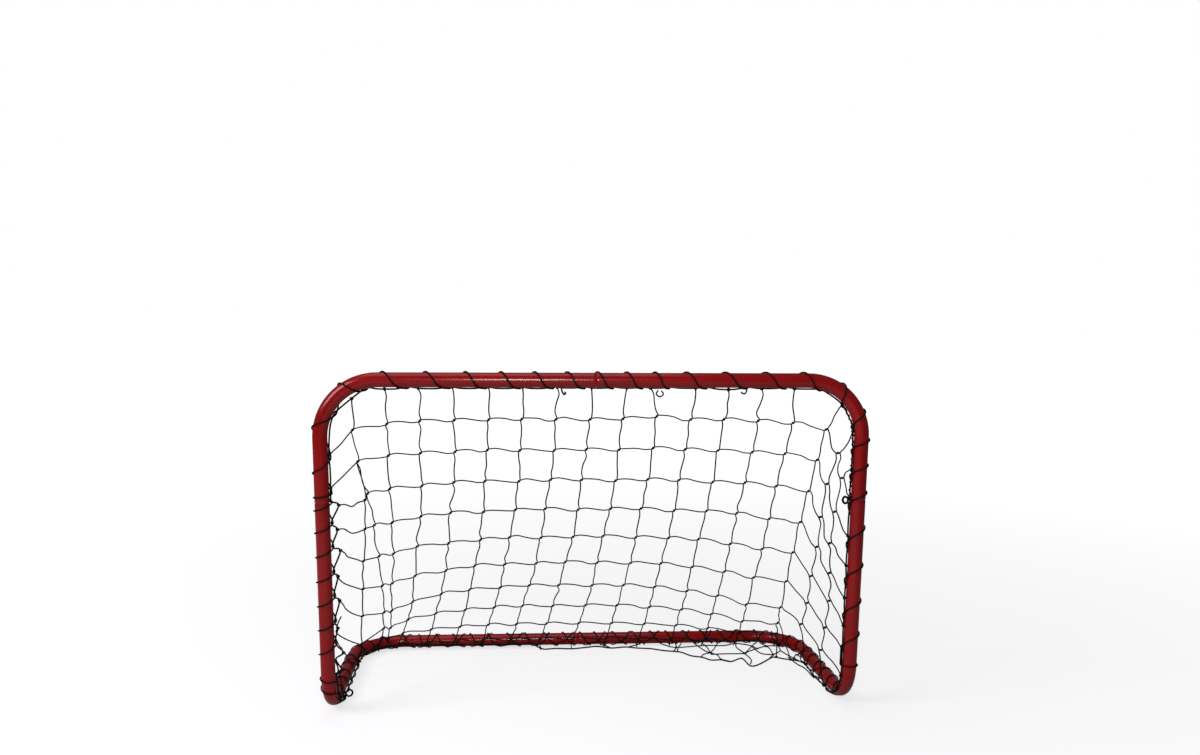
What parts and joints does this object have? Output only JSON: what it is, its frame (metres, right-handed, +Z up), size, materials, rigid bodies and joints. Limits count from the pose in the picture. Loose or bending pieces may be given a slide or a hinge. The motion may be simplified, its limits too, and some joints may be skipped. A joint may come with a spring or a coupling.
{
  "type": "floorball goal",
  "caption": "Small floorball goal of bent red steel tubes that push together with snap buttons, with a knotted black net laced to the frame by a wound cord.",
  "frame": {"origin": "on the floor, at the middle of the whole goal's width and depth", "axes": "+Z up, +X to the right along the crossbar, +Y from the mouth towards the rear bar"},
  "size_m": [0.9584, 0.4072, 0.6066],
  "materials": {
    "tube_paint": "glossy red powder coat",
    "spring_steel": "bright spring steel",
    "lashing_cord": "black braided cord",
    "border_cord": "black braided cord",
    "net_twine": "black knotted twine"
  },
  "bodies": {
    "frame": {"crossbar_left": "tube_paint", "crossbar_right": "tube_paint", "side_left": "tube_paint", "side_right": "tube_paint", "rear_bar_left": "tube_paint", "rear_bar_right": "tube_paint", "spring_clip_crossbar": "spring_steel", "spring_clip_rear": "spring_steel", "spring_clip_post_left": "spring_steel", "spring_clip_post_right": "spring_steel", "spring_clip_leg_left": "spring_steel", "spring_clip_leg_right": "spring_steel", "lashing_crossbar": "lashing_cord", "lashing_post_left": "lashing_cord", "lashing_post_right": "lashing_cord", "lashing_leg_left": "lashing_cord", "lashing_leg_right": "lashing_cord", "lashing_rear": "lashing_cord", "border_cord_front": "border_cord", "border_cord_floor": "border_cord", "net_back": "net_twine", "net_side_left": "net_twine", "net_side_right": "net_twine", "net_skirt": "net_twine"},
    "button_crossbar": {"snap_button_crossbar": "spring_steel"},
    "button_rear": {"snap_button_rear": "spring_steel"},
    "button_post_left": {"snap_button_post_left": "spring_steel"},
    "button_post_right": {"snap_button_post_right": "spring_steel"},
    "button_leg_left": {"snap_button_leg_left": "spring_steel"},
    "button_leg_right": {"snap_button_leg_right": "spring_steel"}
  },
  "joints": [
    {"name": "press_crossbar", "type": "slide", "parent": "frame", "child": "button_crossbar", "axis": [0, -1, 0], "range_m": [0, 0.0035], "stiffness_N_per_m": 2000, "springref_m": -0.002, "deforming": ["spring_clip_crossbar"]},
    {"name": "press_rear", "type": "slide", "parent": "frame", "child": "button_rear", "axis": [0, -1, 0], "range_m": [0, 0.0035], "stiffness_N_per_m": 2000, "springref_m": -0.002, "deforming": ["spring_clip_rear"]},
    {"name": "press_post_left", "type": "slide", "parent": "frame", "child": "button_post_left", "axis": [0, -1, 0], "range_m": [0, 0.0035], "stiffness_N_per_m": 2000, "springref_m": -0.002, "deforming": ["spring_clip_post_left"]},
    {"name": "press_post_right", "type": "slide", "parent": "frame", "child": "button_post_right", "axis": [0, -1, 0], "range_m": [0, 0.0035], "stiffness_N_per_m": 2000, "springref_m": -0.002, "deforming": ["spring_clip_post_right"]},
    {"name": "press_leg_left", "type": "slide", "parent": "frame", "child": "button_leg_left", "axis": [1, 0, 0], "range_m": [0, 0.0035], "stiffness_N_per_m": 2000, "springref_m": -0.002, "deforming": ["spring_clip_leg_left"]},
    {"name": "press_leg_right", "type": "slide", "parent": "frame", "child": "button_leg_right", "axis": [-1, 0, 0], "range_m": [0, 0.0035], "stiffness_N_per_m": 2000, "springref_m": -0.002, "deforming": ["spring_clip_leg_right"]}
  ]
}
